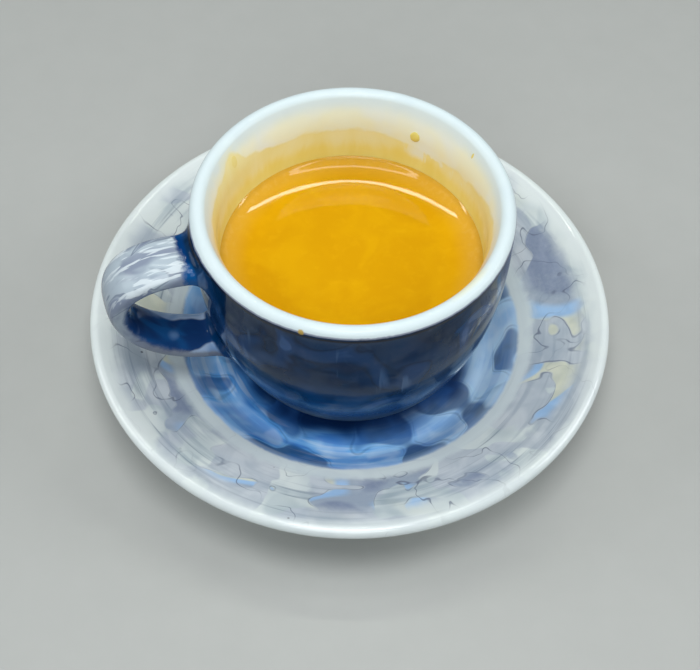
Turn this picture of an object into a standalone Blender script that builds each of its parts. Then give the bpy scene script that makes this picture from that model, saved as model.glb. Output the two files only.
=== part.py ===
# Espresso in a thick-walled, round-bottomed cup with a strap handle, standing on its saucer.
# Metres, +Z up.  The origin is at the middle of the saucer's foot, on the surface it stands on.
# The handle lies to the left of -Y, which is the drinker's side.
import math

import bmesh
import bpy
from mathutils import Vector

MM = 0.001

# ---- saucer ------------------------------------------------------------------------------
SAUCER_R = 58.0            # outside radius of the lip
SAUCER_LIP_R = 1.5         # half the thickness of the rounded lip
SAUCER_LIP_Z = 16.7        # height of the middle of the lip
SAUCER_LIP_SLOPE = 0.40    # rise of the rim where it runs into the lip
WELL_Z = 6.3               # floor of the well, under the cup
WELL_FLAT_R = 31.0         # the floor is flat out to here
WELL_EDGE_R = 38.6         # edge of the well, where the rim begins
WELL_EDGE_Z = 10.7
WELL_EDGE_SLOPE = 0.44
SAUCER_FOOT_IN_R = 23.8
SAUCER_FOOT_OUT_R = 27.2
SAUCER_FOOT_TOP_Z = 1.7    # where the underside starts outside the foot ring
SAUCER_UNDER_Z = 2.3       # underside of the floor, inside the foot ring
SAUCER_SEGMENTS = 56

# ---- cup ---------------------------------------------------------------------------------
CUP_Z = 6.6                # bottom of the foot ring, just clear of the well's floor
LIP_CENTRE_R = 32.0        # the lip is a half round of this middle radius ...
LIP_TUBE_R = 1.75          # ... and this half thickness
LIP_Z = 51.4               # height of the middle of the lip, so the cup ends at 53.15
BOWL_LOW_Z = 10.1          # lowest point of the outer wall's long curve
BOWL_DRAW_IN = 7.9         # how far the wall has drawn in at that height
BOWL_POWER = 2.9           # the wall is upright at the lip and curves in towards the foot
CUP_FOOT_R = 19.4
CUP_FOOT_WALL = 2.2
CUP_FOOT_HEIGHT = 1.2
CUP_BASE_Z = 8.0           # underside inside the foot ring
INNER_TAPER = 0.03         # the inside narrows by this much for each mm down
FLARE_Z = 44.5             # above here it flares towards the lip ...
FLARE_RATE = 0.06          # ... its slope growing by this much for each mm up
BOWL_FLOOR_Z = 11.5        # lowest point of the inside
BOWL_ROUND_Z = 38.0        # the inside starts to round towards its floor here
BOWL_ROUND_POWER = 2.5
CUP_SEGMENTS = 48

# ---- espresso ----------------------------------------------------------------------------
LEVEL_Z = 36.0             # surface of the drink
GAP = 0.3                  # play between pieces that touch

# ---- handle ------------------------------------------------------------------------------
HANDLE_TURN = math.radians(18.9)   # from -X towards -Y
# the strap's middle line, as control points (distance from the cup's axis, height)
HANDLE_PATH = [(32.0, 46.25), (46.07, 50.54), (58.88, 48.09), (54.58, 28.7), (42.54, 19.98), (26.2, 18.68)]
HANDLE_WIDTH = [(0.0, 12.2), (0.25, 12.2), (0.55, 10.1), (0.85, 10.6), (1.0, 10.6)]
HANDLE_THICK = [(0.0, 5.0), (0.5, 4.6), (1.0, 5.0)]
HANDLE_SQUARE = 2.8        # 2 is an oval section, more is squarer
HANDLE_FILLET = 2.2        # the strap spreads by this much where it meets the wall
HANDLE_STATIONS = 30
HANDLE_SIDES = 14


def hermite(p0, m0, p1, m1, steps):
    """Points of a smooth run from p0 to p1 (r, z) that starts and ends with the given slopes."""
    out = []
    span = p1[0] - p0[0]
    for i in range(steps + 1):
        t = i / steps
        z = (p0[1] * (2 * t**3 - 3 * t**2 + 1) + span * m0 * (t**3 - 2 * t**2 + t)
             + p1[1] * (3 * t**2 - 2 * t**3) + span * m1 * (t**3 - t**2))
        out.append((p0[0] + span * t, z))
    return out


def arc(cr, cz, radius, a0, a1, steps):
    """Points of an arc round (cr, cz); angles in degrees, 0 outwards and 90 up."""
    out = []
    for i in range(steps + 1):
        a = math.radians(a0 + (a1 - a0) * i / steps)
        out.append((cr + radius * math.cos(a), cz + radius * math.sin(a)))
    return out


def outer_wall(z):
    """Outside radius of the cup's wall at a height."""
    return (LIP_CENTRE_R + LIP_TUBE_R
            - BOWL_DRAW_IN * max(0.0, (LIP_Z - z) / (LIP_Z - BOWL_LOW_Z)) ** BOWL_POWER)


def lip_tangent():
    """Where the flared inside runs into the round of the lip: lean in radians, radius and height."""
    lean = 0.0
    for _ in range(20):
        lean = math.atan(INNER_TAPER + FLARE_RATE * (LIP_Z + LIP_TUBE_R * math.sin(lean) - FLARE_Z))
    return lean, LIP_CENTRE_R - LIP_TUBE_R * math.cos(lean), LIP_Z + LIP_TUBE_R * math.sin(lean)


def inner_wall(z):
    """Inside radius of the cup's wall at a height, above where it rounds towards the floor."""
    _, top_r, top_z = lip_tangent()
    flare = FLARE_RATE / 2 * ((top_z - FLARE_Z) ** 2 - max(0.0, z - FLARE_Z) ** 2)
    return top_r - INNER_TAPER * (top_z - z) - flare


def inner_run(top_z, inset, steps):
    """The inside of the cup from top_z down to the axis, set in by inset."""
    floor = BOWL_FLOOR_Z + inset
    out = []
    z = top_z
    while z > FLARE_Z - 1:
        out.append((inner_wall(z) - inset, z))
        z -= 1.92
    for i in range(steps + 1):
        a = math.pi / 2 * i / steps
        depth = math.sin(a) ** (2 / BOWL_ROUND_POWER)
        z = BOWL_ROUND_Z - (BOWL_ROUND_Z - floor) * depth
        if z > top_z - 0.5:
            continue
        r = (inner_wall(z) - inset) * math.cos(a) ** (2 / BOWL_ROUND_POWER)
        out.append((r, z))
    if top_z <= BOWL_ROUND_Z:
        depth = (BOWL_ROUND_Z - top_z) / (BOWL_ROUND_Z - floor)
        r = (inner_wall(top_z) - inset) * (1 - depth**BOWL_ROUND_POWER) ** (1 / BOWL_ROUND_POWER)
        out.insert(0, (r, top_z))
    out[-1] = (0.0, floor)
    return out


def turned(name, profile, segments):
    """A solid of revolution from a closed profile of (r, z) in mm that starts and ends on the axis."""
    bm = bmesh.new()
    verts = [bm.verts.new((r * MM, 0, z * MM)) for r, z in profile]
    edges = [bm.edges.new((a, b)) for a, b in zip(verts, verts[1:])]
    bmesh.ops.spin(bm, geom=verts + edges, cent=(0, 0, 0), axis=(0, 0, 1),
                   angle=2 * math.pi, steps=segments, use_duplicate=False)
    bmesh.ops.remove_doubles(bm, verts=bm.verts, dist=0.00001)
    bmesh.ops.recalc_face_normals(bm, faces=bm.faces)
    mesh = bpy.data.meshes.new(name)
    bm.to_mesh(mesh)
    bm.free()
    mesh.shade_smooth()
    mesh.set_sharp_from_angle(angle=math.radians(40))
    obj = bpy.data.objects.new(name, mesh)
    bpy.context.collection.objects.link(obj)
    return obj


def blend_value(table, s):
    """A value read between the rows of a (position, value) table."""
    for (s0, v0), (s1, v1) in zip(table, table[1:]):
        if s <= s1:
            return v0 + (v1 - v0) * (s - s0) / (s1 - s0)
    return table[-1][1]


def path_point(s):
    """A point and a direction of the handle's middle line, by repeated blending."""
    pts = [Vector(p) for p in HANDLE_PATH]
    while len(pts) > 2:
        pts = [a.lerp(b, s) for a, b in zip(pts, pts[1:])]
    return pts[0].lerp(pts[1], s), (pts[1] - pts[0]).normalized()


def handle_solid(name):
    """The strap, with its ends inside the wall and a fillet where it leaves it."""
    out_dir = Vector((-math.cos(HANDLE_TURN), -math.sin(HANDLE_TURN), 0))
    side = Vector((math.sin(HANDLE_TURN), -math.cos(HANDLE_TURN), 0))
    bm = bmesh.new()
    rings = []
    for i in range(HANDLE_STATIONS + 1):
        x = i / HANDLE_STATIONS
        s = x - 0.125 * math.sin(2 * math.pi * x)          # closer together towards both ends
        p, t = path_point(s)
        n = Vector((-t[1], t[0]))
        half_w = blend_value(HANDLE_WIDTH, s) / 2
        half_t = blend_value(HANDLE_THICK, s) / 2
        ring = []
        for j in range(HANDLE_SIDES):
            a = 2 * math.pi * (j + 0.5) / HANDLE_SIDES
            c, d = math.cos(a), math.sin(a)
            c = math.copysign(abs(c) ** (2 / HANDLE_SQUARE), c)
            d = math.copysign(abs(d) ** (2 / HANDLE_SQUARE), d)
            v, q = c * half_w, p + n * (d * half_t)
            clear = math.hypot(q[0], v) - outer_wall(q[1])
            lack = max(0.0, min(1.1, 1 - clear / HANDLE_FILLET))
            spread = 0.6 * HANDLE_FILLET * lack * lack     # carries on a little inside the wall
            size = math.hypot(c, d)
            v += spread * c / size
            q = q + n * (spread * d / size)
            world = out_dir * q[0] + side * v + Vector((0, 0, q[1]))
            ring.append(bm.verts.new(world * MM))
        rings.append(ring)
    for a, b in zip(rings, rings[1:]):
        for j in range(HANDLE_SIDES):
            k = (j + 1) % HANDLE_SIDES
            bm.faces.new((a[j], a[k], b[k], b[j]))
    bm.faces.new(rings[0][::-1])
    bm.faces.new(rings[-1])
    bmesh.ops.recalc_face_normals(bm, faces=bm.faces)
    mesh = bpy.data.meshes.new(name)
    bm.to_mesh(mesh)
    bm.free()
    mesh.shade_smooth()
    obj = bpy.data.objects.new(name, mesh)
    bpy.context.collection.objects.link(obj)
    return obj


def finish(obj, colour, roughness):
    mat = bpy.data.materials.new(obj.name + "_material")
    mat.use_nodes = True
    shader = mat.node_tree.nodes["Principled BSDF"]
    shader.inputs["Base Color"].default_value = (*colour, 1)
    shader.inputs["Roughness"].default_value = roughness
    shader.inputs["Metallic"].default_value = 0
    obj.data.materials.append(mat)


def saucer_profile():
    lean = math.degrees(math.atan(SAUCER_LIP_SLOPE))
    lip_r = SAUCER_R - SAUCER_LIP_R
    lip = (arc(lip_r, SAUCER_LIP_Z, SAUCER_LIP_R, 90 + lean, 0, 4)
           + arc(lip_r, SAUCER_LIP_Z, SAUCER_LIP_R, 0, lean - 90, 3)[1:])
    points = [(0.0, WELL_Z)]
    points += hermite((WELL_FLAT_R, WELL_Z), 0.0, (WELL_EDGE_R, WELL_EDGE_Z), WELL_EDGE_SLOPE, 5)
    points += hermite((WELL_EDGE_R, WELL_EDGE_Z), WELL_EDGE_SLOPE, lip[0], SAUCER_LIP_SLOPE, 4)[1:-1]
    points += lip
    points += hermite(lip[-1], SAUCER_LIP_SLOPE, (SAUCER_FOOT_OUT_R, SAUCER_FOOT_TOP_Z), 0.25, 6)[1:]
    points += [(SAUCER_FOOT_OUT_R - 0.3, 0.5), (SAUCER_FOOT_OUT_R - 0.8, 0.0),
               (SAUCER_FOOT_IN_R + 0.8, 0.0), (SAUCER_FOOT_IN_R + 0.3, 0.5),
               (SAUCER_FOOT_IN_R, SAUCER_UNDER_Z - 0.6), (SAUCER_FOOT_IN_R - 0.8, SAUCER_UNDER_Z),
               (0.0, SAUCER_UNDER_Z)]
    return points


def cup_profile():
    lean, _, top_z = lip_tangent()
    points = inner_run(top_z, 0.0, 10)[::-1]
    points += arc(LIP_CENTRE_R, LIP_Z, LIP_TUBE_R, 180 - math.degrees(lean), 0, 7)[1:]
    steps = 10
    for i in range(1, steps + 1):
        z = LIP_Z + (BOWL_LOW_Z - LIP_Z) * i / steps
        points.append((outer_wall(z), z))
    # the wall turns under to the foot ring: a quadratic curve tangent to both
    low = Vector(points[-1])
    slope = BOWL_POWER * BOWL_DRAW_IN / (LIP_Z - BOWL_LOW_Z)
    foot = Vector((CUP_FOOT_R, CUP_Z + CUP_FOOT_HEIGHT))
    turn = Vector((low[0] - slope * (low[1] - foot[1] - 0.2), foot[1] + 0.2))
    for i in range(1, 5):
        t = i / 4
        p = low.lerp(turn, t).lerp(turn.lerp(foot, t), t)
        points.append((p[0], p[1]))
    points += [(CUP_FOOT_R - 0.2, CUP_Z + 0.3), (CUP_FOOT_R - 0.5, CUP_Z),
               (CUP_FOOT_R - CUP_FOOT_WALL + 0.5, CUP_Z), (CUP_FOOT_R - CUP_FOOT_WALL, CUP_Z + 0.5),
               (CUP_FOOT_R - CUP_FOOT_WALL - 0.5, CUP_BASE_Z), (0.0, CUP_BASE_Z)]
    return points


def build():
    for obj in list(bpy.data.objects):
        bpy.data.objects.remove(obj, do_unlink=True)

    saucer = turned("saucer", saucer_profile(), SAUCER_SEGMENTS)
    finish(saucer, (0.66, 0.69, 0.66), 0.12)

    cup = turned("cup", cup_profile(), CUP_SEGMENTS)
    finish(cup, (0.055, 0.075, 0.13), 0.12)
    handle = handle_solid("cup_handle_form")
    handle.hide_render = True
    handle.display_type = "WIRE"
    join = cup.modifiers.new("handle", "BOOLEAN")
    join.operation = "UNION"
    join.solver = "EXACT"
    join.object = handle

    drink = turned("espresso", inner_run(LEVEL_Z, GAP, 9)[::-1] + [(0.0, LEVEL_Z)], CUP_SEGMENTS)
    finish(drink, (0.72, 0.36, 0.02), 0.25)


build()
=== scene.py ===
import math

import bmesh
import bpy
import numpy as np
from mathutils import Matrix, Vector


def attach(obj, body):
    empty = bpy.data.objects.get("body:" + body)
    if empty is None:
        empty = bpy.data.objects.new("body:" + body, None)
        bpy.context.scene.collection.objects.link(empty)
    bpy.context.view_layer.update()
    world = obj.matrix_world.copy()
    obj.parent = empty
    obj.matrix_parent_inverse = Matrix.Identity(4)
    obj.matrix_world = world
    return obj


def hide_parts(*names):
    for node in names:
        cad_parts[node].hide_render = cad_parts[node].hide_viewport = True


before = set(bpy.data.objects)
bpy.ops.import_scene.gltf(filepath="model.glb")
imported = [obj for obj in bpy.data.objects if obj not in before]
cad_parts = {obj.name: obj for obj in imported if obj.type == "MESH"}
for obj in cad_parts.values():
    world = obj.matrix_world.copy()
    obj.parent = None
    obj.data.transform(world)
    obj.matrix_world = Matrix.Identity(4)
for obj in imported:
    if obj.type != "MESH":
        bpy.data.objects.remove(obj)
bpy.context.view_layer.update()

MM = 0.001
rng = np.random.default_rng(7)

# ------------------------------------------------------------------ sizes, in mm, as in the solids
SAUCER_R, SAUCER_LIP_R, SAUCER_LIP_Z, SAUCER_LIP_SLOPE = 58.0, 1.5, 16.7, 0.40
WELL_Z, WELL_FLAT_R, WELL_EDGE_R, WELL_EDGE_Z, WELL_EDGE_SLOPE = 6.3, 31.0, 38.6, 10.7, 0.44
SAUCER_FOOT_IN_R, SAUCER_FOOT_OUT_R, SAUCER_FOOT_TOP_Z, SAUCER_UNDER_Z = 23.8, 27.2, 1.7, 2.3
CUP_Z = 6.6
LIP_CENTRE_R, LIP_TUBE_R, LIP_Z = 32.0, 1.75, 51.4
BOWL_LOW_Z, BOWL_DRAW_IN, BOWL_POWER = 10.1, 7.9, 2.9
CUP_FOOT_R, CUP_FOOT_WALL, CUP_FOOT_HEIGHT, CUP_BASE_Z = 19.4, 2.2, 1.2, 8.0
INNER_TAPER, FLARE_Z, FLARE_RATE = 0.03, 44.5, 0.06
BOWL_FLOOR_Z, BOWL_ROUND_Z, BOWL_ROUND_POWER = 11.5, 38.0, 2.5
LEVEL_Z = 36.0
HANDLE_TURN = math.radians(18.9)
HANDLE_PATH = np.array([(32.0, 46.25), (46.07, 50.54), (58.88, 48.09), (54.58, 28.7), (42.54, 19.98), (26.2, 18.68)])
HANDLE_WIDTH = ([0.0, 0.25, 0.55, 0.85, 1.0], [12.2, 12.2, 10.1, 10.6, 10.6])
HANDLE_THICK = ([0.0, 0.5, 1.0], [5.0, 4.6, 5.0])
HANDLE_SQUARE = 2.8
FILLET = 3.6


# ------------------------------------------------------------------ smooth noise on arrays
class Noise:
    """Gradient noise on a seeded lattice, for shapes and fields that are worked out here."""

    def __init__(self, seed):
        g = np.random.default_rng(seed)
        self.perm = np.concatenate([g.permutation(256)] * 3)
        v = g.normal(size=(256, 3))
        self.grad = v / np.linalg.norm(v, axis=1)[:, None]

    def __call__(self, p):
        p = np.asarray(p, float)
        i = np.floor(p).astype(int)
        f = p - i
        w = f * f * f * (f * (f * 6 - 15) + 10)
        i &= 255
        out = np.zeros(len(p))
        for dx in (0, 1):
            for dy in (0, 1):
                for dz in (0, 1):
                    h = self.perm[self.perm[self.perm[(i[:, 0] + dx) & 255] + ((i[:, 1] + dy) & 255)] + ((i[:, 2] + dz) & 255)]
                    d = f - (dx, dy, dz)
                    k = (w[:, 0] if dx else 1 - w[:, 0]) * (w[:, 1] if dy else 1 - w[:, 1]) * (w[:, 2] if dz else 1 - w[:, 2])
                    out += k * (self.grad[h] * d).sum(1)
        return out * 1.6

    def layers(self, p, size, octaves=3, gain=0.5):
        p = np.asarray(p, float) / size
        out, amp = np.zeros(len(p)), 1.0
        for o in range(octaves):
            out += amp * self(p * 2**o + 17.3 * o)
            amp *= gain
        return out


def smoothstep(a, b, x):
    t = np.clip((x - a) / (b - a), 0, 1)
    return t * t * (3 - 2 * t)


# ------------------------------------------------------------------ profiles
def hermite(p0, m0, p1, m1, steps):
    t = np.linspace(0, 1, steps + 1)
    span = p1[0] - p0[0]
    z = (p0[1] * (2 * t**3 - 3 * t**2 + 1) + span * m0 * (t**3 - 2 * t**2 + t)
         + p1[1] * (3 * t**2 - 2 * t**3) + span * m1 * (t**3 - t**2))
    return list(zip(p0[0] + span * t, z))


def arc(cr, cz, radius, a0, a1, steps):
    a = np.radians(np.linspace(a0, a1, steps + 1))
    return list(zip(cr + radius * np.cos(a), cz + radius * np.sin(a)))


def outer_wall(z):
    drop = np.clip((LIP_Z - np.asarray(z, float)) / (LIP_Z - BOWL_LOW_Z), 0, None)
    return LIP_CENTRE_R + LIP_TUBE_R - BOWL_DRAW_IN * drop**BOWL_POWER


def outer_wall_slope(z):
    drop = np.clip((LIP_Z - np.asarray(z, float)) / (LIP_Z - BOWL_LOW_Z), 0, None)
    return BOWL_POWER * BOWL_DRAW_IN * drop ** (BOWL_POWER - 1) / (LIP_Z - BOWL_LOW_Z)


LIP_LEAN = 0.0
for _ in range(30):
    LIP_LEAN = math.atan(INNER_TAPER + FLARE_RATE * (LIP_Z + LIP_TUBE_R * math.sin(LIP_LEAN) - FLARE_Z))
LIP_IN_R = LIP_CENTRE_R - LIP_TUBE_R * math.cos(LIP_LEAN)
LIP_IN_Z = LIP_Z + LIP_TUBE_R * math.sin(LIP_LEAN)


def inner_wall(z):
    """Inside radius above the rounding: nearly upright, then flaring to the lip."""
    flare = FLARE_RATE / 2 * ((LIP_IN_Z - FLARE_Z) ** 2 - max(0.0, z - FLARE_Z) ** 2)
    return LIP_IN_R - INNER_TAPER * (LIP_IN_Z - z) - flare


def inner_run(top_z, inset, steps):
    """The inside of the cup from top_z down to the axis; a negative inset lies in the wall."""
    floor = BOWL_FLOOR_Z + inset
    out = []
    if top_z > BOWL_ROUND_Z:
        for z in np.linspace(top_z, BOWL_ROUND_Z, 25)[:-1]:
            out.append((inner_wall(z) - inset, z))
    a = np.linspace(0, math.pi / 2, steps + 1)
    for x in a:
        depth = math.sin(x) ** (2 / BOWL_ROUND_POWER)
        z = BOWL_ROUND_Z - (BOWL_ROUND_Z - floor) * depth
        if top_z <= BOWL_ROUND_Z and z > top_z - 0.05:
            continue
        out.append(((inner_wall(z) - inset) * max(0.0, math.cos(x)) ** (2 / BOWL_ROUND_POWER), z))
    out[-1] = (0.0, floor)
    return out


def inner_radius(z, inset=0.0):
    depth = min(1.0, max(0.0, (BOWL_ROUND_Z - z) / (BOWL_ROUND_Z - BOWL_FLOOR_Z - inset)))
    return (inner_wall(z) - inset) * (1 - depth**BOWL_ROUND_POWER) ** (1 / BOWL_ROUND_POWER)


def cup_profile():
    points = inner_run(LIP_IN_Z, 0.0, 44)[::-1]
    points += arc(LIP_CENTRE_R, LIP_Z, LIP_TUBE_R, 180 - math.degrees(LIP_LEAN), 0, 24)[1:]
    for z in np.linspace(LIP_Z, BOWL_LOW_Z, 62)[1:]:
        points.append((float(outer_wall(z)), z))
    low, foot = np.array(points[-1]), np.array((CUP_FOOT_R, CUP_Z + CUP_FOOT_HEIGHT))
    slope = BOWL_POWER * BOWL_DRAW_IN / (LIP_Z - BOWL_LOW_Z)
    turn = np.array((low[0] - slope * (low[1] - foot[1] - 0.2), foot[1] + 0.2))
    for t in np.linspace(0, 1, 13)[1:]:
        points.append(tuple((1 - t) ** 2 * low + 2 * t * (1 - t) * turn + t * t * foot))
    points += arc(CUP_FOOT_R - 0.55, CUP_Z + 0.5, 0.5, 0, -90, 5)
    points += arc(CUP_FOOT_R - CUP_FOOT_WALL + 0.5, CUP_Z + 0.5, 0.5, -90, -180, 5)
    points += [(CUP_FOOT_R - CUP_FOOT_WALL - 0.15, CUP_BASE_Z - 0.3), (CUP_FOOT_R - CUP_FOOT_WALL - 0.6, CUP_BASE_Z),
               (8.0, CUP_BASE_Z), (0.0, CUP_BASE_Z)]
    return points


def saucer_profile():
    lean = math.degrees(math.atan(SAUCER_LIP_SLOPE))
    lip = (arc(SAUCER_R - SAUCER_LIP_R, SAUCER_LIP_Z, SAUCER_LIP_R, 90 + lean, 0, 14)
           + arc(SAUCER_R - SAUCER_LIP_R, SAUCER_LIP_Z, SAUCER_LIP_R, 0, lean - 90, 10)[1:])
    points = [(0.0, WELL_Z)] + [(r, WELL_Z) for r in np.linspace(0, WELL_FLAT_R, 22)[1:-1]]
    points += hermite((WELL_FLAT_R, WELL_Z), 0.0, (WELL_EDGE_R, WELL_EDGE_Z), WELL_EDGE_SLOPE, 24)
    points += hermite((WELL_EDGE_R, WELL_EDGE_Z), WELL_EDGE_SLOPE, lip[0], SAUCER_LIP_SLOPE, 42)[1:-1]
    points += lip
    points += hermite(lip[-1], SAUCER_LIP_SLOPE, (SAUCER_FOOT_OUT_R, SAUCER_FOOT_TOP_Z), 0.25, 40)[1:]
    points += arc(SAUCER_FOOT_OUT_R - 0.8, 0.7, 0.7, 0, -90, 5)
    points += arc(SAUCER_FOOT_IN_R + 0.8, 0.7, 0.7, -90, -180, 5)
    points += [(SAUCER_FOOT_IN_R, SAUCER_UNDER_Z - 0.7), (SAUCER_FOOT_IN_R - 0.3, SAUCER_UNDER_Z - 0.15),
               (SAUCER_FOOT_IN_R - 0.9, SAUCER_UNDER_Z), (12.0, SAUCER_UNDER_Z), (0.0, SAUCER_UNDER_Z)]
    return points


# ------------------------------------------------------------------ meshes
def new_object(name, points, faces):
    mesh = bpy.data.meshes.new(name)
    mesh.from_pydata([tuple(p) for p in np.asarray(points) * MM], [], faces)
    mesh.update()
    mesh.shade_smooth()
    obj = bpy.data.objects.new(name, mesh)
    bpy.context.collection.objects.link(obj)
    return obj


def turned(name, profile, segments):
    """A closed solid of revolution from a profile (r, z) that starts and ends on the axis."""
    inner = [p for p in profile[1:-1]]
    a = np.linspace(0, 2 * math.pi, segments, endpoint=False)
    pts = [(0, 0, profile[0][1])]
    for r, z in inner:
        pts += list(zip(r * np.cos(a), r * np.sin(a), np.full(segments, z)))
    pts.append((0, 0, profile[-1][1]))
    faces = []
    last = len(pts) - 1
    for j in range(segments):
        k = (j + 1) % segments
        faces.append((0, 1 + j, 1 + k))
        for i in range(len(inner) - 1):
            p, q = 1 + i * segments, 1 + (i + 1) * segments
            faces.append((p + j, q + j, q + k, p + k))
        q = 1 + (len(inner) - 1) * segments
        faces.append((q + j, last, q + k))
    obj = new_object(name, pts, faces)
    bm = bmesh.new()
    bm.from_mesh(obj.data)
    bmesh.ops.recalc_face_normals(bm, faces=bm.faces)
    bm.to_mesh(obj.data)
    bm.free()
    return obj


def coords(obj):
    p = np.empty(len(obj.data.vertices) * 3)
    obj.data.vertices.foreach_get("co", p)
    return p.reshape(-1, 3) / MM


def set_coords(obj, p):
    obj.data.vertices.foreach_set("co", (np.asarray(p) * MM).ravel())
    obj.data.update()


def normals_of(obj):
    n = np.empty(len(obj.data.vertices) * 3)
    obj.data.vertices.foreach_get("normal", n)
    return n.reshape(-1, 3)


def attribute(obj, name, values):
    a = obj.data.attributes.new(name, "FLOAT", "POINT")
    a.data.foreach_set("value", np.asarray(values, np.float32))


def bezier(s):
    """Point and direction of the handle's middle line for an array of positions 0 to 1."""
    s = np.asarray(s, float)[:, None]
    pts = [np.broadcast_to(p, (len(s), 2)) for p in HANDLE_PATH]
    while len(pts) > 2:
        pts = [a * (1 - s) + b * s for a, b in zip(pts, pts[1:])]
    d = pts[1] - pts[0]
    return pts[0] * (1 - s) + pts[1] * s, d / np.linalg.norm(d, axis=1)[:, None]


OUT = np.array((-math.cos(HANDLE_TURN), -math.sin(HANDLE_TURN), 0.0))
SIDE = np.array((math.sin(HANDLE_TURN), -math.cos(HANDLE_TURN), 0.0))
SPINE_S = np.linspace(0, 1, 600)
SPINE_P, SPINE_T = bezier(SPINE_S)


def strap_coords(p):
    """For points in mm: position along the strap, across it, off its middle face, and a distance."""
    u, v, z = p @ OUT, p @ SIDE, p[:, 2]
    s = np.empty(len(p))
    b = np.empty(len(p))
    for lo in range(0, len(p), 4000):
        q = np.stack([u[lo:lo + 4000], z[lo:lo + 4000]], 1)
        d = ((q[:, None] - SPINE_P[None]) ** 2).sum(2)
        i = d.argmin(1)
        t = SPINE_T[i]
        rel = q - SPINE_P[i]
        s[lo:lo + 4000] = SPINE_S[i]
        b[lo:lo + 4000] = rel[:, 1] * t[:, 0] - rel[:, 0] * t[:, 1]
    hw = np.interp(s, *HANDLE_WIDTH) / 2
    ht = np.interp(s, *HANDLE_THICK) / 2
    n = HANDLE_SQUARE
    x, y = np.abs(v) / hw, np.abs(b) / ht
    f = np.maximum((x**n + y**n) ** (1 / n), 1e-6)
    slope = np.hypot(f ** (1 - n) * x ** (n - 1) / hw, f ** (1 - n) * y ** (n - 1) / ht)
    return s, v / hw, b / ht, (f - 1) / np.maximum(slope, 1e-6)


def body_distance(p):
    r, z = np.hypot(p[:, 0], p[:, 1]), p[:, 2]
    wall = (r - outer_wall(z)) / np.sqrt(1 + outer_wall_slope(z) ** 2)
    lip = np.hypot(r - LIP_CENTRE_R, z - LIP_Z) - LIP_TUBE_R
    return np.where(z > LIP_Z, lip, wall)


def joined_distance(p):
    """Distance to cup and handle together, with a fillet where they meet."""
    d1, d2 = body_distance(p), strap_coords(p)[3]
    h = np.clip(0.5 + 0.5 * (d2 - d1) / FILLET, 0, 1)
    return d2 * (1 - h) + d1 * h - FILLET * h * (1 - h)


def joined_slope(p, e=0.02):
    g = np.empty_like(p)
    for i in range(3):
        o = np.zeros(3)
        o[i] = e
        g[:, i] = (joined_distance(p + o) - joined_distance(p - o)) / (2 * e)
    return g


def strap(name, stations=240, sides=56):
    x = np.linspace(0, 1, stations)
    s = x - 0.11 * np.sin(2 * math.pi * x)
    p, t = bezier(s)
    n = np.stack([-t[:, 1], t[:, 0]], 1)
    a = 2 * math.pi * (np.arange(sides) + 0.5) / sides
    c, d = np.cos(a), np.sin(a)
    c = np.sign(c) * np.abs(c) ** (2 / HANDLE_SQUARE)
    d = np.sign(d) * np.abs(d) ** (2 / HANDLE_SQUARE)
    hw = np.interp(s, *HANDLE_WIDTH) / 2
    ht = np.interp(s, *HANDLE_THICK) / 2
    pts = []
    for i in range(stations):
        q = p[i] + n[i] * (d * ht[i])[:, None]
        pts.append(OUT * q[:, :1] + SIDE * (c * hw[i])[:, None] + np.array((0, 0, 1.0)) * q[:, 1:])
    pts = np.concatenate(pts)
    faces = []
    for i in range(stations - 1):
        for j in range(sides):
            k = (j + 1) % sides
            faces.append((i * sides + j, i * sides + k, (i + 1) * sides + k, (i + 1) * sides + j))
    faces.append(tuple(range(sides))[::-1])
    faces.append(tuple((stations - 1) * sides + j for j in range(sides)))
    obj = new_object(name, pts, faces)
    bm = bmesh.new()
    bm.from_mesh(obj.data)
    bmesh.ops.recalc_face_normals(bm, faces=bm.faces)
    bm.to_mesh(obj.data)
    bm.free()
    return obj


def make_cup():
    cup = turned("cup_body", cup_profile(), 256)
    handle = strap("cup_handle_form")
    m = cup.modifiers.new("join", "BOOLEAN")
    m.operation, m.solver, m.object = "UNION", "EXACT", handle
    deps = bpy.context.evaluated_depsgraph_get()
    mesh = bpy.data.meshes.new_from_object(cup.evaluated_get(deps))
    cup.modifiers.clear()
    old = cup.data
    cup.data = mesh
    mesh.name = "cup_body"
    bpy.data.meshes.remove(old)
    bpy.data.objects.remove(handle, do_unlink=True)
    bm = bmesh.new()
    bm.from_mesh(cup.data)
    bmesh.ops.remove_doubles(bm, verts=bm.verts, dist=2e-5)
    bmesh.ops.triangulate(bm, faces=[f for f in bm.faces if len(f.verts) > 4])
    bm.to_mesh(cup.data)
    bm.free()
    # the fillet: what lies near both surfaces moves out to their smooth union
    p = coords(cup)
    r = np.hypot(p[:, 0], p[:, 1])
    outside = r > np.where(p[:, 2] > LIP_Z, LIP_CENTRE_R, outer_wall(p[:, 2]) - 1.0)
    u = p @ OUT
    near = outside & (u > 20) & (np.abs(body_distance(p)) < FILLET * 1.3)
    near[near] &= np.abs(strap_coords(p[near])[3]) < FILLET * 1.3
    q = p[near]
    for _ in range(6):
        f, g = joined_distance(q), joined_slope(q)
        step = -(f / np.maximum((g * g).sum(1), 0.2))[:, None] * g
        q = q + np.clip(step, -0.6, 0.6)
    p[near] = q
    set_coords(cup, p)
    g = joined_slope(q)
    n = normals_of(cup)
    n[near] = g / np.linalg.norm(g, axis=1)[:, None]
    cup.data.shade_smooth()
    cup.data.normals_split_custom_set_from_vertices([tuple(x) for x in n])
    return cup


def make_saucer():
    return turned("saucer_body", saucer_profile(), 384)


# slope of the drink's surface by distance from the axis: a level middle and a long rise to the wall
SURFACE_SLOPE = [(0, 0), (19.5, 0), (20.6, 0.06), (21.7, 0.134), (22.3, 0.150), (23.1, 0.168), (24.0, 0.20), (24.8, 0.24),
                 (25.4, 0.28), (25.9, 0.315), (26.4, 0.350), (27.1, 0.36), (27.8, 0.30), (28.4, 0.20)]
EDGE_Z = 36.25


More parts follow.
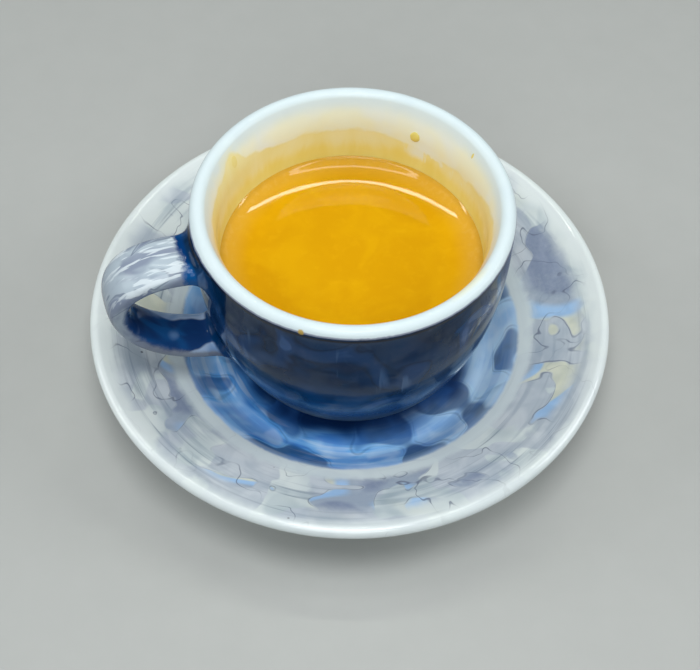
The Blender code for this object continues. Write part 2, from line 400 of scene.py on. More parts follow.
def make_drink():
    """The drink: level in the middle, climbing a little towards the wall, and reaching just into it."""
    wall = inner_radius(LEVEL_Z)
    fine = np.arange(0, 30, 0.02)
    slope = np.interp(fine, *np.array(SURFACE_SLOPE).T)
    kernel = np.exp(-np.linspace(-2.2, 2.2, 41) ** 2)
    slope = np.convolve(np.pad(slope, 20, mode="edge"), kernel / kernel.sum(), mode="valid")
    height = np.concatenate([[0], np.cumsum((slope[1:] + slope[:-1]) / 2 * 0.02)])
    height += EDGE_Z - np.interp(wall, fine, height)
    rs = np.concatenate([np.linspace(0, 17, 24), np.linspace(17, 26, 44)[1:], np.linspace(26, wall, 18)[1:]])
    top = [(r, float(np.interp(r, fine, height))) for r in rs]
    edge_z = top[-1][1]
    top.append((inner_radius(edge_z, -0.3), edge_z + 0.02))
    body = [(r, z) for r, z in inner_run(min(LEVEL_Z, edge_z) - 0.9, -0.3, 30)]
    return turned("crema_surface", top + body, 256)


def wall_frame(bearing, z):
    """A point on the inside wall, with its inward normal and its sideways and upward directions."""
    a = math.radians(bearing)                      # from +Y towards +X
    radial = np.array((math.sin(a), math.cos(a), 0.0))
    slope = (inner_wall(z + 0.1) - inner_wall(z - 0.1)) / 0.2
    up = radial * slope + np.array((0, 0, 1.0))
    up /= np.linalg.norm(up)
    side = np.array((math.cos(a), -math.sin(a), 0.0))
    return radial * inner_wall(z) + np.array((0, 0, z)), np.cross(up, side) * np.sign(np.cross(up, side) @ -radial), side, up


def bead(name, bearing, z, width, height, thick, droop=0.0, seed=1):
    """A drop of crema on the inside wall: a low dome, heavier at its lower end, its rim just in the glaze."""
    noise = Noise(seed)
    rings, sides = 12, 36
    front, back = [], []
    for i in range(rings + 1):
        rho = i / rings
        for j in range(sides):
            a = 2 * math.pi * j / sides
            w = 1 + 0.10 * float(noise(np.array([[math.cos(a) * 1.3, math.sin(a) * 1.3, 0.5]]))[0])
            x = width / 2 * rho * math.cos(a) * w * (1 - droop * 0.35 * math.sin(a))
            y = height / 2 * rho * math.sin(a) * w
            lift = thick * math.sqrt(max(0.0, 1 - rho**2)) * (1 - droop * 0.5 * math.sin(a) * rho) - 0.04
            zz = z + y
            b = bearing + math.degrees(x / inner_wall(zz))
            p, n, _, _ = wall_frame(b, zz)
            front.append(p + n * lift)
            back.append(p - n * 0.2)
    pts = front[:1] + front[sides:] + back[:1] + back[sides:]
    n_ring = rings * sides
    faces = []
    for base, flip in ((0, False), (n_ring + 1, True)):
        for j in range(sides):
            k = (j + 1) % sides
            f = [(base, base + 1 + j, base + 1 + k)]
            for i in range(rings - 1):
                p, q = base + 1 + i * sides, base + 1 + (i + 1) * sides
                f.append((p + j, q + j, q + k, p + k))
            faces += [x[::-1] for x in f] if flip else f
    p, q = 1 + (rings - 1) * sides, n_ring + 2 + (rings - 1) * sides
    for j in range(sides):
        k = (j + 1) % sides
        faces.append((p + k, p + j, q + j, q + k))
    obj = new_object(name, pts, faces)
    bm = bmesh.new()
    bm.from_mesh(obj.data)
    bmesh.ops.recalc_face_normals(bm, faces=bm.faces)
    bm.to_mesh(obj.data)
    bm.free()
    return obj


# ------------------------------------------------------------------ build
cup = make_cup()
saucer = make_saucer()
drink = make_drink()
beads = [bead("crema_bead_a", 27.4, 45.9, 2.3, 2.7, 0.36, 0.3, 3),
         bead("crema_bead_b", -61.2, 48.6, 2.2, 3.4, 0.07, -0.3, 4),
         bead("crema_bead_c", 57.6, 50.6, 0.6, 1.4, 0.10, 0.0, 5)]

for piece, node, slot in ((cup, "cup", "cup_glaze"), (saucer, "saucer", "saucer_glaze"), (drink, "espresso", "espresso")):
    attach(piece, "root")
    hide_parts(node)
for piece in beads:
    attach(piece, "root")

# ------------------------------------------------------------------ fields on the vertices, in mm
p = coords(cup)
r, z = np.hypot(p[:, 0], p[:, 1]), p[:, 2]
bearing = np.degrees(np.arctan2(p[:, 0], p[:, 1]))
inner_r = np.array([inner_radius(min(v, LIP_IN_Z)) for v in z])
inside = (z > BOWL_FLOOR_Z - 0.2) & (r < inner_r + 0.4) & (z < LIP_IN_Z + 0.01)
over_lip = (z > LIP_Z) & ~inside & (r < LIP_CENTRE_R + LIP_TUBE_R + 0.05)
lip_angle = np.arctan2(r - LIP_CENTRE_R, z - LIP_Z)
down = np.where(over_lip, LIP_TUBE_R * lip_angle, LIP_TUBE_R * math.pi / 2 + LIP_Z - z)
down = np.where(inside, -LIP_TUBE_R * (math.pi / 2 - LIP_LEAN) - (LIP_IN_Z - z), down)
attribute(cup, "down", down)
# upper edge of the film that the crema left on the wall: height by bearing, uneven, lower at the back
FILM_EDGE = [(-180, 45.6), (-150, 45.8), (-120, 47.6), (-96, 49.0), (-82, 48.6), (-72, 49.0), (-66, 50.8), (-61.5, 51.2),
             (-58, 50.4), (-55, 47.9), (-45, 46.1), (-33, 44.5), (-20, 45.2), (-9, 44.9), (2, 45.0), (19, 43.6), (35, 42.9),
             (48, 43.4), (60, 44.2), (78, 47.2), (92, 49.0), (107, 49.8), (130, 48.0), (155, 46.3), (180, 45.6)]
edge_b, edge_z = np.array(FILM_EDGE).T
film_edge = np.interp(bearing, edge_b, edge_z)
attribute(cup, "film", np.where(inside, z - film_edge, np.where(over_lip, 6.0, 12.0)))
s, across, off, strap_d = strap_coords(p)
on_strap = np.where(inside, 0.0, smoothstep(2.4, -0.2, strap_d) * smoothstep(0.2, 3.0, r - outer_wall(z)))
attribute(cup, "strap", on_strap)
attribute(cup, "strap_s", s)
attribute(cup, "strap_side", across)
attribute(cup, "strap_out", off)

attribute(saucer, "up", normals_of(saucer)[:, 2])


# ------------------------------------------------------------------ materials
class Graph:
    """A material whose surface is worked out from the place on the piece and its fields."""

    def __init__(self, name):
        self.mat = bpy.data.materials.new(name)
        self.mat.use_nodes = True
        self.tree = self.mat.node_tree
        self.shader = self.tree.nodes["Principled BSDF"]
        self.place = self.node("ShaderNodeTexCoord").outputs["Object"]
        xyz = self.node("ShaderNodeSeparateXYZ")
        self.put(xyz.inputs[0], self.place)
        self.x, self.y, self.z = (self.mul(v, 1000.0) for v in xyz.outputs)
        self.r = self.math("SQRT", self.add(self.mul(self.x, self.x), self.mul(self.y, self.y)))

    def node(self, kind, **props):
        n = self.tree.nodes.new(kind)
        for k, v in props.items():
            setattr(n, k, v)
        return n

    def put(self, socket, value):
        if isinstance(value, bpy.types.NodeSocket):
            self.tree.links.new(value, socket)
        elif socket.type == "RGBA":
            socket.default_value = (*value, 1)
        else:
            socket.default_value = value

    def math(self, op, *args, clamp=False):
        n = self.node("ShaderNodeMath", operation=op, use_clamp=clamp)
        for socket, v in zip(n.inputs, args):
            self.put(socket, v)
        return n.outputs[0]

    def add(self, a, b):
        return self.math("ADD", a, b)

    def sub(self, a, b):
        return self.math("SUBTRACT", a, b)

    def mul(self, a, b):
        return self.math("MULTIPLY", a, b)

    def inv(self, a):
        return self.math("SUBTRACT", 1.0, a)

    def top(self, a, b):
        return self.math("MAXIMUM", a, b)

    def step(self, x, lo, hi, a=0.0, b=1.0):
        """Eases from a to b as x goes from lo to hi."""
        n = self.node("ShaderNodeMapRange", interpolation_type="SMOOTHSTEP")
        for k, v in zip(("Value", "From Min", "From Max", "To Min", "To Max"), (x, lo, hi, a, b)):
            self.put(n.inputs[k], v)
        return n.outputs["Result"]

    def band(self, x, middle, half, soft):
        """1 within half of the middle value, easing to 0 over soft."""
        return self.step(self.math("ABSOLUTE", self.sub(x, middle)), half, half + soft, 1.0, 0.0)

    def field(self, name):
        return self.node("ShaderNodeAttribute", attribute_name=name).outputs["Fac"]

    def vector(self, x, y, z):
        n = self.node("ShaderNodeCombineXYZ")
        for socket, v in zip(n.inputs, (x, y, z)):
            self.put(socket, v)
        return n.outputs[0]

    def noise(self, size, detail=3.0, rough=0.55, warp=0.0, seed=0.0, at=None):
        """Soft noise from 0 to 1 whose features are about size mm (or units of the given coordinates)."""
        n = self.node("ShaderNodeTexNoise", noise_dimensions="3D")
        unit = 1.0 if at is not None else MM
        shift = self.node("ShaderNodeVectorMath", operation="ADD")
        self.put(shift.inputs[0], at if at is not None else self.place)
        shift.inputs[1].default_value = tuple(v * size * unit for v in (seed * 3.17, seed * -2.39, seed * 1.73))
        self.put(n.inputs["Vector"], shift.outputs[0])
        self.put(n.inputs["Scale"], 1 / (size * unit))
        self.put(n.inputs["Detail"], detail)
        self.put(n.inputs["Roughness"], rough)
        self.put(n.inputs["Distortion"], warp)
        return n.outputs["Fac"]

    def cells(self, size, feature="F1", rand=1.0, at=None):
        n = self.node("ShaderNodeTexVoronoi", feature=feature)
        self.put(n.inputs["Vector"], at if at is not None else self.place)
        self.put(n.inputs["Scale"], 1 / size if at is not None else 1000.0 / size)
        self.put(n.inputs["Randomness"], rand)
        return n

    def mix(self, f, a, b):
        n = self.node("ShaderNodeMix", data_type="RGBA")
        self.put(n.inputs[0], f)
        self.put(n.inputs[6], a)
        self.put(n.inputs[7], b)
        return n.outputs[2]

    def glaze(self, f, colour, tint):
        """A thin wash: darkens the colour under it by the tint, f strong."""
        n = self.node("ShaderNodeMix", data_type="RGBA", blend_type="MULTIPLY")
        self.put(n.inputs[0], f)
        self.put(n.inputs[6], colour)
        self.put(n.inputs[7], tint)
        return n.outputs[2]

    def bump(self, height, depth, strength=1.0, under=None):
        """depth is the height in mm of a full step."""
        n = self.node("ShaderNodeBump")
        self.put(n.inputs["Strength"], strength)
        self.put(n.inputs["Distance"], depth * MM)
        self.put(n.inputs["Height"], height)
        if under is not None:
            self.put(n.inputs["Normal"], under)
        return n.outputs[0]

    def finish(self, colour, roughness, normal=None, ior=1.5):
        self.put(self.shader.inputs["Base Color"], colour)
        self.put(self.shader.inputs["Roughness"], roughness)
        self.put(self.shader.inputs["IOR"], ior)
        if normal is not None:
            self.put(self.shader.inputs["Normal"], normal)
        return self.mat


WHITE = (0.665, 0.775, 0.80)


def crema_material():
    g = Graph("crema")
    wall = inner_radius(LEVEL_Z)
    broad = g.noise(12.0, 3.0, 0.55, 0.6, 1.0)
    fine = g.noise(2.4, 3.0, 0.6, 0.4, 2.0)
    colour = g.mix(g.step(broad, 0.36, 0.68), (0.638, 0.318, 0.0003), (0.690, 0.362, 0.0008))
    colour = g.mix(g.mul(g.step(fine, 0.50, 0.75), 0.22), colour, (0.77, 0.43, 0.006))
    # little bubbles and their marks, sparse
    pores = g.step(g.cells(0.9).outputs["Distance"], 0.05, 0.16, 1.0, 0.0)
    colour = g.mix(g.mul(g.mul(pores, g.step(g.noise(6.0, 2.0, 0.5, 0.0, 3.0), 0.58, 0.70)), 0.25), colour, (0.56, 0.25, 0.001))
    # paler crema towards the wall, thin and brownish at the very edge
    to_wall = g.add(g.sub(wall, g.r), g.mul(g.sub(g.noise(5.0, 3.0, 0.5, 0.0, 4.0), 0.5), 0.7))
    colour = g.mix(g.step(to_wall, 0.6, 6.5, 0.70, 0.0), colour, (0.64, 0.365, 0.045))
    froth = g.step(g.noise(1.3, 3.0, 0.6, 0.2, 19.0), 0.45, 0.65)
    colour = g.mix(g.mul(g.mul(froth, g.step(to_wall, 0.8, 4.0, 1.0, 0.0)), 0.22), colour, (0.72, 0.46, 0.13))
    colour = g.mix(g.step(to_wall, 0.1, 1.4, 0.55, 0.0), colour, (0.50, 0.285, 0.030))
    rough = g.step(fine, 0.4, 0.7, 0.03, 0.06)
    normal = g.bump(g.noise(4.0, 2.0, 0.5, 0.0, 5.0), 0.006, 1.0)
    return g.finish(colour, rough, normal, 1.37)


def film_colours(g, above):
    """The film on the wall: richer just above the drink, paler and thinner towards its upper edge."""
    depth = g.mul(above, -1.0)
    streak = g.noise(1.0, 3.0, 0.6, 0.3, 11.0, g.vector(g.mul(g.x, 0.16), g.mul(g.y, 0.16), g.mul(g.z, 0.05)))
    rich = g.step(g.add(g.z, g.mul(g.sub(streak, 0.5), 5.0)), 38.6, 42.4, 1.0, 0.0)
    pale = g.mix(g.step(streak, 0.35, 0.7), (0.82, 0.755, 0.34), (0.84, 0.80, 0.45))
    full = g.mix(g.step(streak, 0.3, 0.7), (0.82, 0.69, 0.16), (0.84, 0.74, 0.23))
    colour = g.mix(rich, pale, full)
    rim = g.band(depth, 0.45, 0.12, 0.55)
    return g.mix(g.mul(rim, 0.10), colour, (0.72, 0.62, 0.22))


def bead_material():
    g = Graph("crema_bead")
    n = g.noise(1.2, 3.0, 0.6, 0.2, 31.0)
    return g.finish(g.mix(g.step(g.x, -5.0, 5.0), g.mix(n, (0.79, 0.71, 0.27), (0.83, 0.76, 0.35)), g.mix(n, (0.70, 0.60, 0.14), (0.78, 0.69, 0.22))), 0.12, g.bump(g.noise(0.8, 2.0), 0.01), 1.4)


def cup_material():
    g = Graph("cup_glaze")
    down = g.field("down")
    film = g.field("film")
    strap, s, side, out = (g.field(n) for n in ("strap", "strap_s", "strap_side", "strap_out"))
    ragged = g.sub(g.noise(2.4, 4.0, 0.62, 0.3, 6.0), 0.5)

    # outside: a navy marbled glaze, near-black between softer slate-blue clouds
    broad = g.noise(19.0, 1.5, 0.5, 0.6, 7.0)
    cloud = g.noise(12.0, 1.5, 0.5, 0.7, 8.0)
    fine = g.noise(2.0, 4.0, 0.6, 0.6, 9.0)
    navy = g.mix(g.step(broad, 0.40, 0.62), (0.0003, 0.013, 0.046), (0.0010, 0.025, 0.083))
    navy = g.mix(g.mul(g.step(cloud, 0.51, 0.60), 0.75), navy, (0.007, 0.042, 0.135))
    navy = g.mix(g.mul(g.step(cloud, 0.61, 0.67), 0.60), navy, (0.040, 0.100, 0.250))
    navy = g.mix(g.mul(g.band(cloud, 0.505, 0.004, 0.03), 0.35), navy, (0.0006, 0.006, 0.022))
    mottle = g.noise(4.2, 2.5, 0.55, 0.8, 10.0)
    navy = g.mix(g.mul(g.step(mottle, 0.56, 0.68), 0.22), navy, (0.020, 0.055, 0.13))
    navy = g.mix(g.mul(g.step(fine, 0.62, 0.76), 0.15), navy, (0.022, 0.060, 0.13))
    navy = g.mix(g.step(g.add(g.z, g.mul(g.sub(cloud, 0.5), 30.0)), 32.0, 19.0, 0.0, 0.65), navy, (0.001, 0.050, 0.180))
    # a greyer glaze where it thins under the lip; towards the foot a painted reflection of the saucer, a darker then
    # grey-green band low on the bowl
    thin = g.top(g.step(g.add(down, g.mul(ragged, 3.0)), 3.4, 6.0, 0.6, 0.0), g.step(g.add(g.z, g.mul(ragged, 3.0)), 10.0, 14.5, 0.9, 0.0))
    navy = g.mix(g.mul(thin, 0.32), navy, (0.018, 0.042, 0.075))
    # painted reflection: the lowest part of the bowl turns grey-green, as the pale saucer below would show in the glaze
    foot_reflection_band = g.step(g.add(g.z, g.mul(ragged, 5.0)), 14.0, 18.5, 0.70, 0.0)
    navy = g.mix(foot_reflection_band, navy, g.mix(g.step(cloud, 0.45, 0.58), (0.050, 0.080, 0.105), (0.115, 0.145, 0.150)))
    # runs of thinner glaze down the wall, in broken groups
    runs = g.noise(1.0, 2.0, 0.5, 0.3, 12.0, g.vector(g.mul(g.x, 0.42), g.mul(g.y, 0.42), g.mul(g.z, 0.05)))
    group = g.step(g.noise(15.0, 1.0, 0.5, 0.0, 13.0), 0.54, 0.66)
    navy = g.mix(g.mul(g.mul(g.step(runs, 0.58, 0.70), group), 0.40), navy, (0.11, 0.20, 0.36))

    # the strap: pale with slate and lilac clouds, deep blue at its roots and on its inner face
    along = g.vector(g.mul(s, 8.0), g.mul(side, 1.2), g.mul(out, 0.45))
    wash = g.noise(1.5, 2.0, 0.5, 0.7, 21.0, along)
    lilac = g.noise(1.1, 2.0, 0.5, 0.5, 22.0, along)
    pale = g.mix(g.step(lilac, 0.40, 0.62), (0.42, 0.50, 0.56), (0.24, 0.285, 0.37))
    pale = g.mix(g.mul(g.step(wash, 0.52, 0.62), 0.80), pale, (0.16, 0.195, 0.29))
    pale = g.mix(g.mul(g.band(wash, 0.540, 0.005, 0.022), 0.55), pale, (0.07, 0.09, 0.15))
    # painted highlights: white strokes that run along it, strongest on its upper arm, stand in for the glaze's glints
    glint_strokes = g.noise(1.0, 2.0, 0.5, 0.2, 23.0, g.vector(g.mul(s, 9.0), g.mul(side, 5.5), g.mul(out, 1.0)))
    pale = g.mix(g.mul(g.mul(g.step(glint_strokes, 0.54, 0.60), g.step(s, 0.30, 0.46, 1.0, 0.15)), 0.80), pale, (0.66, 0.74, 0.78))
    # the bend is greyer
    pale = g.mix(g.mul(g.band(s, 0.50, 0.10, 0.16), 0.35), pale, (0.18, 0.22, 0.30))
    pale = g.mix(g.step(s, 0.60, 0.74, 0.0, 0.75), pale, (0.17, 0.185, 0.235))
    blue = g.mix(g.step(wash, 0.42, 0.62), (0.0008, 0.034, 0.145), (0.004, 0.080, 0.265))
    blue = g.mix(g.mul(g.mul(g.step(g.noise(9.0, 1.2, 0.4, 0.3, 27.0), 0.500, 0.560), g.step(s, 0.58, 0.68)), 0.70), blue, g.mix(g.step(wash, 0.44, 0.60), (0.50, 0.66, 0.88), (0.22, 0.38, 0.64)))
    root = g.step(g.add(s, g.mul(ragged, 0.05)), 0.065, 0.090, 1.0, 0.0)
    inner = g.mul(g.step(g.add(out, g.mul(ragged, 0.7)), -0.55, -0.05, 1.0, 0.0), g.step(s, 0.30, 0.55, 0.35, 1.0))
    strap_colour = g.mix(g.top(root, g.mul(inner, 0.96)), pale, blue)
    outer = g.mix(g.step(strap, 0.25, 0.75), navy, strap_colour)

    # the lip: white, breaking through a lilac grey and a thin brown line into the dark glaze
    edge = g.add(down, g.mul(ragged, g.step(g.noise(14.0, 1.0, 0.5, 0.0, 14.0), 0.40, 0.65, 0.15, 0.70)))
    outer = g.mix(g.mul(g.band(edge, 3.25, 0.10, 0.45), 0.85), outer, (0.012, 0.012, 0.016))
    white = g.mix(g.mul(g.step(g.noise(7.0, 3.0, 0.5, 0.0, 15.0), 0.45, 0.7), 0.5), WHITE, (0.63, 0.74, 0.78))
    cream = g.mix(g.step(g.noise(13.0, 2.0, 0.5, 0.3, 25.0), 0.42, 0.60), (0.79, 0.86, 0.82), (0.82, 0.86, 0.70))
    white = g.mix(g.step(down, -5.5, -2.0, 1.0, 0.0), white, cream)
    # a speck of crema on the lip and a faint stain beside it
    spot = g.math("SQRT", g.add(g.math("POWER", g.add(g.x, 9.4), 2.0), g.math("POWER", g.sub(down, 2.25), 2.0)))
    spot = g.mul(g.step(g.add(spot, g.mul(ragged, 0.6)), 0.40, 0.80, 1.0, 0.0), g.step(g.y, -20.0, -25.0))
    smear = g.mul(g.step(g.math("ABSOLUTE", g.sub(g.x, 24.0)), 1.5, 5.5, 1.0, 0.0), g.mul(g.step(g.y, -14.0, -18.0), g.band(down, -1.2, 0.5, 1.3)))
    white = g.mix(g.mul(smear, 0.55), white, (0.80, 0.78, 0.50))
    colour = g.mix(g.step(edge, 1.95, 2.30), white, (0.26, 0.29, 0.38))
    colour = g.mix(g.step(edge, 2.38, 2.68), colour, outer)
    colour = g.mix(g.mul(spot, 0.9), colour, (0.50, 0.33, 0.05))

    # the film of crema on the inside
    lap = g.add(film, g.mul(g.sub(g.noise(3.6, 3.0, 0.5, 0.3, 16.0), 0.5), 2.4))
    wet = g.step(lap, -0.85, 0.45, 1.0, 0.0)
    haze = g.mul(g.step(lap, 0.0, 6.5, 1.0, 0.0), g.step(g.noise(9.0, 2.0, 0.5, 0.4, 17.0), 0.42, 0.60))
    colour = g.mix(g.mul(haze, g.step(film, 7.5, 8.0, 0.30, 0.0)), colour, (0.82, 0.80, 0.50))
    # thin places where the wall shows through, on the right
    turn = g.math("DIVIDE", g.x, g.top(g.r, 1.0))
    gaps = g.noise(1.0, 2.0, 0.5, 0.4, 26.0, g.vector(g.mul(g.x, 0.34), g.mul(g.y, 0.34), g.mul(g.z, 0.16)))
    gaps = g.mul(g.mul(g.step(gaps, 0.53, 0.60), g.band(turn, 0.62, 0.14, 0.14)), g.step(lap, -4.2, -2.0))
    colour = g.mix(g.mul(wet, g.sub(0.93, g.mul(gaps, 0.75))), colour, film_colours(g, lap))

    rough = g.add(g.step(fine, 0.35, 0.75, 0.045, 0.11), g.mul(wet, 0.10))
    rough = g.add(rough, g.mul(g.step(g.z, 25.0, 13.0, 0.0, 0.34), g.step(g.field("down"), 1.0, 3.0)))
    normal = g.bump(g.noise(5.0, 2.0, 0.45, 0.0, 18.0), 0.035, 1.0)
    normal = g.bump(g.step(edge, 1.7, 2.5), 0.03, 0.6, normal)
    return g.finish(colour, rough, normal, 1.23)


def saucer_material():
    g = Graph("saucer_glaze")
    r, x, y = g.r, g.x, g.y
    cx, cy = g.math("DIVIDE", x, g.top(r, 1.0)), g.math("DIVIDE", y, g.top(r, 1.0))

    def towards(angle, lo, hi):
        """Grows from 0 to 1 as the place turns towards a plan angle from +X; lo and hi are cosines."""
        a = math.radians(angle)
        return g.step(g.add(g.mul(cx, math.cos(a)), g.mul(cy, math.sin(a))), lo, hi)

    def drift(size, seed):
        return g.sub(g.noise(size, 2.0, 0.45, 0.3, seed), 0.5)

    broken = g.noise(7.0, 2.0, 0.5, 0.0, 80.0)
    grain = g.noise(0.8, 3.0, 0.6, 0.0, 81.0)
    shade = g.noise(5.0, 1.5, 0.5, 0.1, 82.0)
    ragged = g.sub(g.noise(3.0, 3.0, 0.55, 0.4, 41.0), 0.5)
    ground = g.mix(g.step(g.noise(18.0, 2.0, 0.5, 0.5, 42.0), 0.38, 0.65), (0.70, 0.77, 0.755), (0.57, 0.65, 0.665))
    ground = g.mix(g.mul(g.step(g.noise(21.0, 2.0, 0.5, 0.8, 43.0), 0.54, 0.68), 0.35), ground, (0.66, 0.71, 0.61))

    # brush strokes that follow the rim: long soft noise round the plate, fine across it
    stroke = g.noise(1.0, 2.5, 0.55, 0.12, 44.0, g.vector(g.mul(cx, 1.7), g.mul(cy, 1.7), g.mul(r, 0.45)))
    hair = g.noise(1.0, 2.0, 0.5, 0.08, 45.0, g.vector(g.mul(cx, 2.2), g.mul(cy, 2.2), g.mul(r, 1.5)))
    colour = g.glaze(g.mul(g.step(stroke, 0.48, 0.62), 0.60), ground, (0.62, 0.67, 0.73))
    colour = g.glaze(g.mul(g.mul(g.step(hair, 0.56, 0.66), g.step(stroke, 0.42, 0.58)), 0.60), colour, (0.42, 0.46, 0.54))

    # soft grey shading in broad patches
    broad = g.noise(15.0, 2.5, 0.5, 0.6, 46.0)
    colour = g.glaze(g.mul(g.step(broad, 0.50, 0.62), 0.55), colour, (0.62, 0.68, 0.74))

    # thin grey glaze in broad drifts, its brush marks showing
    veil = g.add(g.noise(17.0, 2.0, 0.5, 0.4, 61.0), g.mul(ragged, 0.05))
    tint = g.mix(g.step(g.noise(7.0, 2.5, 0.5, 0.5, 47.0), 0.38, 0.62), (0.37, 0.43, 0.52), (0.53, 0.58, 0.65))
    tint = g.mix(g.mul(g.step(stroke, 0.44, 0.60), 0.40), tint, (0.27, 0.33, 0.42))
    tint = g.mix(g.mul(g.step(hair, 0.59, 0.70), 0.38), tint, (0.17, 0.21, 0.30))
    colour = g.mix(g.step(veil, 0.49, 0.52, 0.0, 0.62), colour, tint)

    # marbling all the way round: soft clouds that flow into one another, slate, grey-blue, light blue and cream
    cloud = g.noise(15.0, 1.6, 0.45, 0.55, 101.0)
    kind = g.noise(24.0, 1.0, 0.40, 0.2, 102.0)
    fill = g.mix(g.step(kind, 0.425, 0.470), (0.255, 0.310, 0.425), (0.37, 0.44, 0.53))
    fill = g.mix(g.step(kind, 0.485, 0.520), fill, (0.36, 0.57, 0.84))
    fill = g.mix(g.step(kind, 0.540, 0.560), fill, (0.68, 0.71, 0.58))
    fill = g.glaze(g.mul(g.step(shade, 0.62, 0.40), 0.55), fill, (0.72, 0.76, 0.80))
    within = g.mul(g.step(g.add(r, g.mul(ragged, 2.0)), 40.0, 43.5), g.step(g.add(r, g.mul(ragged, 2.0)), 49.5, 53.5, 1.0, 0.0))
    body = g.mul(g.mul(g.step(cloud, 0.538, 0.556), within), g.step(grain, 0.3, 0.7, 0.86, 0.96))
    colour = g.mix(body, colour, fill)
    line = g.mul(g.mul(g.band(cloud, 0.541, 0.001, 0.006), within), g.step(broken, 0.40, 0.58, 0.10, 1.0))
    colour = g.mix(g.mul(line, 0.60), colour, (0.085, 0.11, 0.18))

    # fine veins
    vein = g.band(g.add(g.noise(19.0, 3.0, 0.5, 0.3, 62.0), 0.0), 0.5, 0.0010, 0.0055)
    vein = g.mul(vein, g.step(broken, 0.60, 0.42, 0.15, 1.0))
    colour = g.mix(g.mul(vein, 0.70), colour, (0.11, 0.135, 0.20))

    # small dark specks
    speck = g.cells(6.0)
    dot = g.mul(g.step(speck.outputs["Distance"], 0.035, 0.060, 1.0, 0.0), g.step(g.noise(9.0, 1.0, 0.5, 0.0, 54.0), 0.52, 0.56))
    colour = g.mix(g.mul(dot, 0.75), colour, (0.04, 0.05, 0.08))

    # the pale lip and the pale band beside the well
    wob = g.mul(g.sub(g.noise(8.0, 2.0, 0.5, 0.2, 48.0), 0.5), 4.0)
    front = towards(-75, 0.10, 0.70)
    colour = g.mix(g.mul(g.step(g.sub(g.add(r, wob), g.mul(front, 1.6)), 51.8, 55.0), g.step(front, 0.0, 1.0, 0.90, 0.72)), colour, (0.76, 0.83, 0.82))
    colour = g.mix(g.mul(g.step(g.add(r, g.mul(ragged, 1.8)), 40.6, 42.4, 1.0, 0.0), 0.80), colour, (0.62, 0.71, 0.73))

    # the blue well, lighter to the right (partly its own paler blue, partly painted light where more light falls), with
    # brush bands, and painted shade darkening it round the cup's foot, deeper on the left
    deep = g.noise(11.0, 2.0, 0.5, 0.7, 55.0)
    bands = g.noise(1.0, 2.5, 0.55, 0.10, 56.0, g.vector(g.mul(cx, 1.5), g.mul(cy, 1.5), g.mul(r, 0.42)))
    # partly painted light: the well turns paler towards the right, where more light falls, as well as by its own paler
    # blue
    right = g.step(g.add(x, g.mul(y, 0.30)), -10.0, 26.0)
    blue = g.mix(g.step(deep, 0.40, 0.62), (0.10, 0.34, 0.76), (0.22, 0.50, 0.86))
    blue = g.mix(g.mul(right, 0.80), blue, (0.56, 0.79, 0.98))
    blue = g.glaze(g.mul(g.step(bands, 0.50, 0.60), g.step(right, 0.0, 1.0, 0.65, 0.42)), blue, (0.34, 0.50, 0.76))
    blue = g.mix(g.mul(g.step(bands, 0.46, 0.36), 0.50), blue, (0.64, 0.80, 0.96))
    # painted shade: the well darkens round the cup's foot, more on the left, where the cup and its handle shade it
    foot_shade_radius = g.add(r, g.mul(g.sub(g.noise(12.0, 1.0, 0.4, 0.2, 57.0), 0.5), 9.0))
    left = g.step(x, 16.0, -6.0)
    blue = g.mix(g.mul(g.step(foot_shade_radius, 25.0, 31.5, 1.0, 0.0), g.step(left, 0.0, 1.0, 0.70, 0.92)), blue, (0.010, 0.070, 0.25))
    blue = g.mix(g.mul(g.step(foot_shade_radius, 24.6, 28.4, 1.0, 0.0), g.step(left, 0.0, 1.0, 0.85, 0.92)), blue, (0.003, 0.018, 0.080))
    # flowing pools, deep in places and pale in others, softly lined where they end
    flow = g.noise(12.5, 1.0, 0.4, 0.35, 91.0)
    tone = g.noise(6.0, 1.5, 0.5, 0.2, 92.0)
    depths = g.step(flow, 0.505, 0.460)
    blue = g.mix(g.mul(depths, 0.70), blue, g.mix(g.step(tone, 0.35, 0.65), (0.006, 0.030, 0.120), (0.020, 0.090, 0.30)))
    pale = g.mul(g.step(flow, 0.530, 0.580), g.step(r, 28.0, 31.0))
    blue = g.mix(g.mul(pale, 0.45), blue, g.mix(g.step(tone, 0.38, 0.62), (0.22, 0.44, 0.80), (0.50, 0.68, 0.92)))
    lined = g.mul(g.band(flow, 0.512, 0.002, 0.016), g.step(broken, 0.30, 0.58, 0.05, 1.0))
    blue = g.mix(g.mul(lined, 0.30), blue, (0.008, 0.045, 0.18))
    blue = g.mix(g.mul(g.step(r, 36.3, 38.2), 0.35), blue, (0.50, 0.66, 0.84))
    colour = g.mix(g.step(g.add(r, g.mul(ragged, 0.9)), 37.8, 38.8, 1.0, 0.0), colour, blue)

    # underneath: plain off-white glaze, the foot ring bare
    up = g.field("up")
    under = g.mix(g.noise(18.0, 3.0, 0.5, 0.5, 58.0), (0.60, 0.65, 0.65), (0.66, 0.69, 0.67))
    bare = g.step(g.z, 0.25, 0.5, 1.0, 0.0)
    under = g.mix(bare, under, g.mix(g.noise(1.2, 4.0, 0.6), (0.42, 0.37, 0.31), (0.52, 0.47, 0.40)))
    colour = g.mix(g.step(g.add(up, g.mul(ragged, 0.3)), -0.35, -0.05, 1.0, 0.0), colour, under)

    rough = g.add(g.step(g.noise(4.0, 3.0, 0.6), 0.35, 0.75, 0.06, 0.12), g.mul(bare, 0.6))
    normal = g.bump(g.noise(6.0, 2.0, 0.45, 0.0, 59.0), 0.04, 1.0)
    normal = g.bump(line, 0.02, 0.6, normal)
    return g.finish(colour, rough, normal, 1.52)


cup.data.materials.append(cup_material())
saucer.data.materials.append(saucer_material())
drink.data.materials.append(crema_material())
bead_mat = bead_material()
for piece in beads:
    piece.data.materials.append(bead_mat)

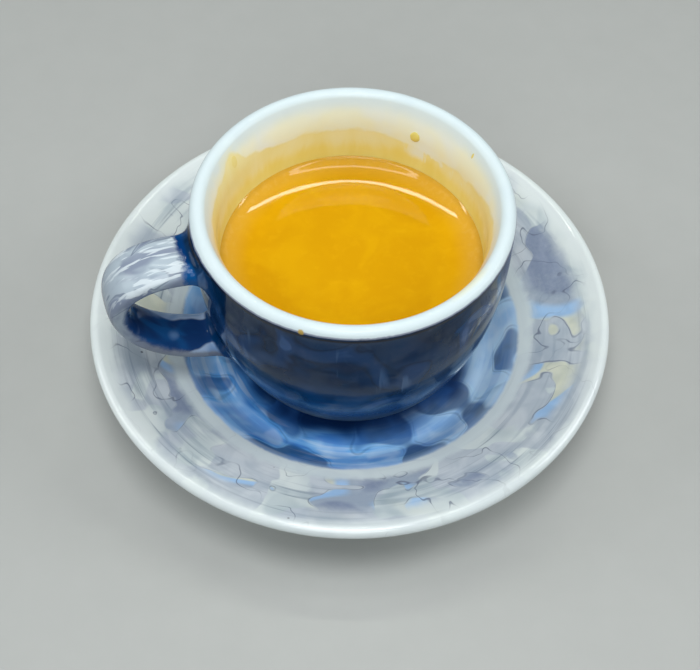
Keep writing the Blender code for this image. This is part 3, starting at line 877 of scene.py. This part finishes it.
# ------------------------------------------------------------------ floor
bpy.ops.mesh.primitive_plane_add(size=6, location=(0, 0, 0))
floor = bpy.context.object
floor.name = "floor"
g = Graph("floor")
floor.data.materials.append(g.finish(g.mix(g.noise(9.0, 4.0, 0.6), (0.40, 0.415, 0.40), (0.43, 0.445, 0.43)), 0.55))

# ------------------------------------------------------------------ light
scene = bpy.context.scene
scene.view_settings.view_transform = "Standard"
scene.view_settings.look = "None"
world = bpy.data.worlds.new("studio")
scene.world = world
world.use_nodes = True
world.node_tree.nodes["Background"].inputs["Color"].default_value = (0.90, 0.95, 1.0, 1)
world.node_tree.nodes["Background"].inputs["Strength"].default_value = 0.12


def area(name, place, size, power, colour=(1, 1, 1), look=(0, 0, 0.03), shape="DISK"):
    data = bpy.data.lights.new(name, "AREA")
    data.shape = shape
    data.size = size if np.isscalar(size) else size[0]
    if shape in ("RECTANGLE", "ELLIPSE"):
        data.size_y = size[1]
    data.energy = power
    data.color = colour
    obj = bpy.data.objects.new(name, data)
    bpy.context.collection.objects.link(obj)
    obj.location = place
    obj.rotation_euler = (Vector(look) - Vector(place)).to_track_quat("-Z", "Y").to_euler()
    obj.visible_camera = False
    return obj


area("key", (0.0, -0.15, 0.70), 0.32, 2.15, (1.0, 1.0, 1.0))
area("front_fill", (-0.03, -0.62, 0.66), 0.5, 2.7, (0.95, 0.98, 1.0))
area("side_left", (-0.60, 0.06, 0.46), 0.40, 1.35, (0.98, 0.99, 1.0))
area("side_right", (0.60, 0.06, 0.46), 0.40, 1.65, (0.98, 0.99, 1.0))
area("back_strip", (0.0, 0.277, 0.566), (0.42, 0.020), 0.43, (0.96, 1.0, 0.90), (0, 0, 0.036), "RECTANGLE")
area("upper_strip", (0.0, 0.110, 0.60), (0.30, 0.026), 0.15, (1.0, 0.97, 0.97), (0, 0, 0.036), "RECTANGLE")

# ------------------------------------------------------------------ camera
F_PX, DIST, EL, DP, YAW, ROLL, AIM_Z = 1517.58, 340.76, 53.38, 1.04, 0.04, 1.65, 16.9
cam_data = bpy.data.cameras.new("camera")
cam_data.sensor_fit = "HORIZONTAL"
cam_data.sensor_width = 36
cam_data.lens = F_PX / 700 * 36
cam_data.clip_start = 0.01
cam_data.dof.use_dof = False
camera = bpy.data.objects.new("camera", cam_data)
bpy.context.collection.objects.link(camera)
el, pitch, yaw, roll = (math.radians(a) for a in (EL, EL + DP, YAW, ROLL))
fwd = Vector((math.sin(yaw) * math.cos(pitch), math.cos(yaw) * math.cos(pitch), -math.sin(pitch)))
right = Vector((math.cos(yaw), -math.sin(yaw), 0))
up = right.cross(fwd)
x_axis = math.cos(roll) * right + math.sin(roll) * up
y_axis = -math.sin(roll) * right + math.cos(roll) * up
rot = Matrix((x_axis, y_axis, -fwd)).transposed()
camera.matrix_world = Matrix.Translation(Vector((0, -DIST * math.cos(el), DIST * math.sin(el) + AIM_Z)) * MM) @ rot.to_4x4()
scene.camera = camera
